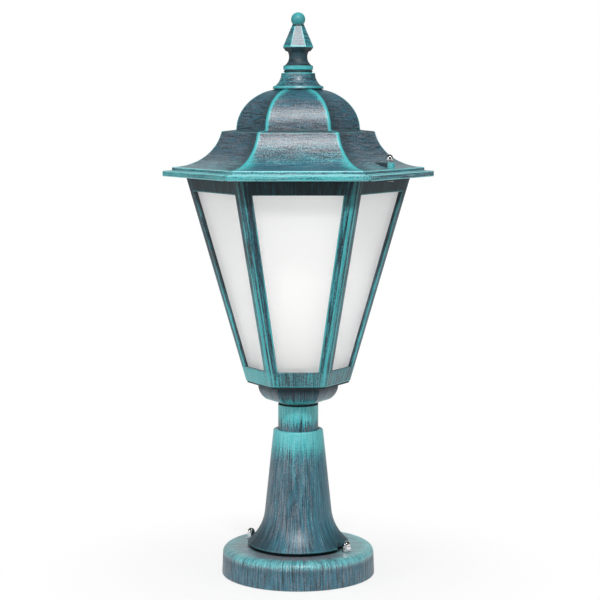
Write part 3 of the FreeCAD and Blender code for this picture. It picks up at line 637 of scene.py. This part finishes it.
def frosted_glass():
    made = Material("frosted_glass")
    etch = made.grain(900)
    cloud = made.grain(18)
    made.bump(etch, 0.15, 0.0001)
    # The panes glow faintly: painted light standing in for the lit bulb shining through them
    return made.set(Base_Color=made.mix(cloud, (0.94, 0.94, 0.94, 1), (0.97, 0.97, 0.97, 1)),
                    Roughness=made.add(0.86, made.times(etch, 0.12)), Transmission_Weight=0.8, IOR=1.45,
                    Emission_Color=(1.0, 1.0, 1.0, 1),
                    Emission_Strength=made.add(0.058, made.times(cloud, 0.01)))


def metal(name, cells, detail, dull, clear, rough, change):
    """Bare metal, clouded between two colours, with its roughness and how much the clouds add to that."""
    made = Material(name)
    cloud = made.grain(cells, detail)
    made.set(Base_Color=made.mix(cloud, dull, clear), Metallic=1.0,
             Roughness=made.add(rough, made.times(cloud, change)))
    return made


def zinc_steel():
    made = metal("zinc_steel", 260, 4.0, (0.4, 0.41, 0.42, 1), (0.66, 0.66, 0.64, 1), 0.24, 0.3)
    made.bump(made.grain(1500), 0.1, 0.0001)
    return made.material


def bright_plating():
    made = metal("bright_plating", 400, 3.0, (0.7, 0.7, 0.71, 1), (0.84, 0.84, 0.85, 1), 0.05, 0.12)
    return made.material


def contact_brass():
    made = metal("contact_brass", 700, 3.0, (0.55, 0.38, 0.14, 1), (0.75, 0.57, 0.28, 1), 0.2, 0.2)
    return made.material


def glazed_white():
    made = Material("glazed_white")
    cloud = made.grain(60, 3.0)
    made.bump(cloud, 0.1, 0.0004)
    return made.set(Base_Color=made.mix(cloud, (0.78, 0.76, 0.71, 1), (0.86, 0.85, 0.81, 1)),
                    Roughness=made.add(0.12, made.times(cloud, 0.1)))


def opal_bulb():
    made = Material("opal_bulb")
    cloud = made.grain(40)
    z = made.place()[2]
    cap = made.fall(z, Z_BULB_CAP, Z_BULB_CAP + 0.0006)
    glass = made.mix(cloud, (0.92, 0.91, 0.88, 1), (0.96, 0.95, 0.93, 1))
    glow = made.times(made.rise(z, Z_BULB_CAP + 0.004, Z_BULB_CAP + 0.02), 0.1)
    return made.set(Base_Color=made.mix(cap, glass, (0.6, 0.6, 0.58, 1)), Metallic=cap,
                    Roughness=made.add(0.22, made.times(cloud, 0.1)),
                    Emission_Color=(1.0, 0.98, 0.95, 1), Emission_Strength=glow)


def moulded(name, light, ridge_shade, rough):
    made = Material(name)
    cloud = made.grain(300, 3.0)
    made.bump(made.grain(2200), 0.12, 0.0001)
    return made.set(Base_Color=made.mix(cloud, ridge_shade, light),
                    Roughness=made.add(rough, made.times(cloud, 0.15)))


def striped_wire():
    made = Material("wire_green")
    x, y, _ = made.place()
    stripe = made.math("SINE", made.times(made.add(x, y), 1400))
    cloud = made.grain(300, 3.0)
    green = made.mix(cloud, (0.05, 0.2, 0.04, 1), (0.07, 0.26, 0.06, 1))
    return made.set(Base_Color=made.mix(made.rise(stripe, 0.5, 0.7), green, (0.7, 0.55, 0.05, 1)),
                    Roughness=made.add(0.4, made.times(cloud, 0.1)))


def sharp_points(edges):
    """A tree of points along these edges, and whether each lies on an edge that stands proud."""
    points, proud = [], []
    for edge in edges:
        start, end = [vertex.co for vertex in edge.verts]
        steps = 2 + int((end - start).length / EDGE_STEP)
        for step in range(steps + 1):
            points.append(start.lerp(end, step / steps))
            proud.append(edge.is_convex)
    tree = KDTree(len(points))
    for index, point in enumerate(points):
        tree.insert(point, index)
    tree.balance()
    return tree, proud


def in_hollow(vertex):
    """Whether a vertex of the roof lies on its inner wall or ceiling."""
    outward = Vector((vertex.co.x, vertex.co.y, 0)).normalized()
    wall = vertex.normal.dot(outward) < WALL_FACING
    ceiling = vertex.normal.z < CEILING_FACING and vertex.co.z > Z_CEILING
    return wall or ceiling


def rounded(node, radius, material):
    """A piece that stands for a CAD node, with its sharp edges rounded and marked for the paint."""
    mesh = bpy.data.meshes.new(node + "_rounded")
    shape = bmesh.new()
    shape.from_mesh(frame["nodes"][node].data)
    bmesh.ops.remove_doubles(shape, verts=shape.verts, dist=SAME_POINT)
    bmesh.ops.dissolve_limit(shape, angle_limit=FLAT_ANGLE, verts=shape.verts, edges=shape.edges)
    skin = BVHTree.FromBMesh(shape)
    sharp = [edge for edge in shape.edges if edge.calc_face_angle(0) > SHARP_ANGLE]
    tree, proud = sharp_points(sharp)
    made = bmesh.ops.bevel(shape, geom=sharp, offset=radius, segments=EDGE_SEGMENTS, profile=0.5,
                           affect="EDGES", clamp_overlap=False, loop_slide=True)
    strips = set(made["faces"])
    mark = shape.verts.layers.float.new("edge")
    hidden = shape.verts.layers.float.new("inside")
    shape.normal_update()
    for vertex in shape.verts:
        vertex[hidden] = 1.0 if node == "roof" and in_hollow(vertex) else 0.0
        spot, _, _, gap_shadow = skin.find_nearest(vertex.co)
        if gap_shadow > radius:
            vertex.co = spot
        on_strip = all(face in strips for face in vertex.link_faces)
        vertex[mark] = 1.0 if on_strip and proud[tree.find(vertex.co)[1]] else 0.0
    for face in shape.faces:
        face.smooth = True
    shape.to_mesh(mesh)
    shape.free()
    mesh.materials.append(material)
    piece = bpy.data.objects.new(node + "_rounded", mesh)
    bpy.context.scene.collection.objects.link(piece)
    piece.modifiers.new("flat_faces", "WEIGHTED_NORMAL").weight = FACE_WEIGHT
    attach(piece, "root")
    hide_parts(node)


def dress(node, material):
    """Gives a CAD node that stays as it is a finish."""
    slots = frame["nodes"][node].data.materials
    slots.clear()
    slots.append(material)


def floor():
    """A pale table that keeps the shadow, and is plain white further away."""
    mesh = bpy.data.meshes.new("floor")
    mesh.from_pydata(FLOOR_CORNERS, [], [(0, 1, 2, 3)])
    plane = bpy.data.objects.new("floor", mesh)
    bpy.context.scene.collection.objects.link(plane)
    made = Material("floor_white")
    x, y, _ = made.place()
    distance = made.math("SQRT", made.add(made.times(x, x), made.times(y, y)))
    path = made.node("LightPath").outputs
    seen = made.most(path["Is Camera Ray"], path["Is Glossy Ray"], path["Is Transmission Ray"])
    plain = made.add(NEAR_WHITE, made.times(made.rise(distance, *SHADOW_REACH), 1.0 - NEAR_WHITE))
    white = made.node("Emission", {"Color": WHITE, "Strength": 1.0})
    made.set(Base_Color=FLOOR_GREY, Roughness=0.8, Specular_IOR_Level=0.0)
    mixed = made.node("MixShader", {0: made.times(seen, plain), 1: made.shader.outputs[0],
                                    2: white.outputs[0]})
    made.feed(made.tree.nodes["Material Output"].inputs["Surface"], mixed.outputs[0])
    mesh.materials.append(made.material)
    plane.location.z = -FLOOR_DROP


def surroundings():
    """Even grey light for the object. The camera sees white, and metal and glass see a white backdrop."""
    world = bpy.data.worlds.new("studio")
    world.use_nodes = True
    bpy.context.scene.world = world
    made = Nodes(world.node_tree)
    coordinates = made.node("TexCoord").outputs["Generated"]
    direction = made.node("SeparateXYZ", {"Vector": coordinates}).outputs
    behind = made.ramp(direction["Y"], *BACKDROP_EDGE, BACKDROP_DIM, 1.0, "LINEAR")
    overhead = made.ramp(direction["Z"], *OVERHEAD_EDGE, 1.0, OVERHEAD_DIM, "LINEAR")
    path = made.node("LightPath").outputs
    strength = made.between(path["Is Glossy Ray"], AMBIENT, made.times(behind, overhead))
    seen = made.most(path["Is Camera Ray"], path["Is Transmission Ray"])
    strength = made.between(seen, strength, 1.0)
    shown = made.node("Background", {"Color": WHITE, "Strength": strength})
    made.feed(made.tree.nodes["World Output"].inputs["Surface"], shown.outputs[0])


def softbox(name, place, size, watts):
    lamp = bpy.data.lights.new(name, "AREA")
    lamp.shape = "SQUARE"
    lamp.size = size
    lamp.energy = watts
    made = bpy.data.objects.new(name, lamp)
    made.location = place
    aim = LIGHT_TARGET - Vector(place)
    made.rotation_euler = aim.to_track_quat("-Z", "Y").to_euler()
    bpy.context.scene.collection.objects.link(made)


def camera():
    lens = bpy.data.cameras.new("camera")
    lens.lens = CAMERA_LENS
    made = bpy.data.objects.new("camera", lens)
    made.location = CAMERA_PLACE
    made.rotation_euler = (math.radians(90 - CAMERA_PITCH), 0, 0)
    bpy.context.scene.collection.objects.link(made)
    bpy.context.scene.camera = made


# The painted castings by node, and the other finishes by slot
paints = {
    "roof": roof_paint(),
    "finial": finial_paint(),
    "cage": cage_paint(),
    "bowl": bowl_paint(),
    "neck_tube": tube_paint(),
    "pillar": pillar_paint(),
    "base_disc": base_paint(),
}
finishes = {
    "frosted_glass": frosted_glass(),
    "bright_plating": bright_plating(),
    "zinc_steel": zinc_steel(),
    "holder_white": glazed_white(),
    "contact_brass": contact_brass(),
    "opal_bulb": opal_bulb(),
    "terminal_plastic": moulded("terminal_plastic", (0.78, 0.76, 0.68, 1), (0.66, 0.64, 0.56, 1), 0.4),
    "wire_brown": moulded("wire_brown", (0.075, 0.03, 0.014, 1), (0.05, 0.02, 0.01, 1), 0.35),
    "wire_blue": moulded("wire_blue", (0.02, 0.075, 0.34, 1), (0.014, 0.05, 0.25, 1), 0.35),
    "wire_green": striped_wire(),
}
for subpart in frame["record"]["subparts"]:
    node, slot = subpart["node"], subpart["material_slot"]
    finish = paints[node] if node in paints else finishes[slot]
    if node in EDGE_RADII:
        rounded(node, EDGE_RADII[node], finish)
    else:
        dress(node, finish)

floor()
surroundings()
for name, (place, size, watts) in SOFTBOXES.items():
    softbox(name, place, size, watts)
camera()
bpy.context.scene.view_settings.view_transform = "Standard"
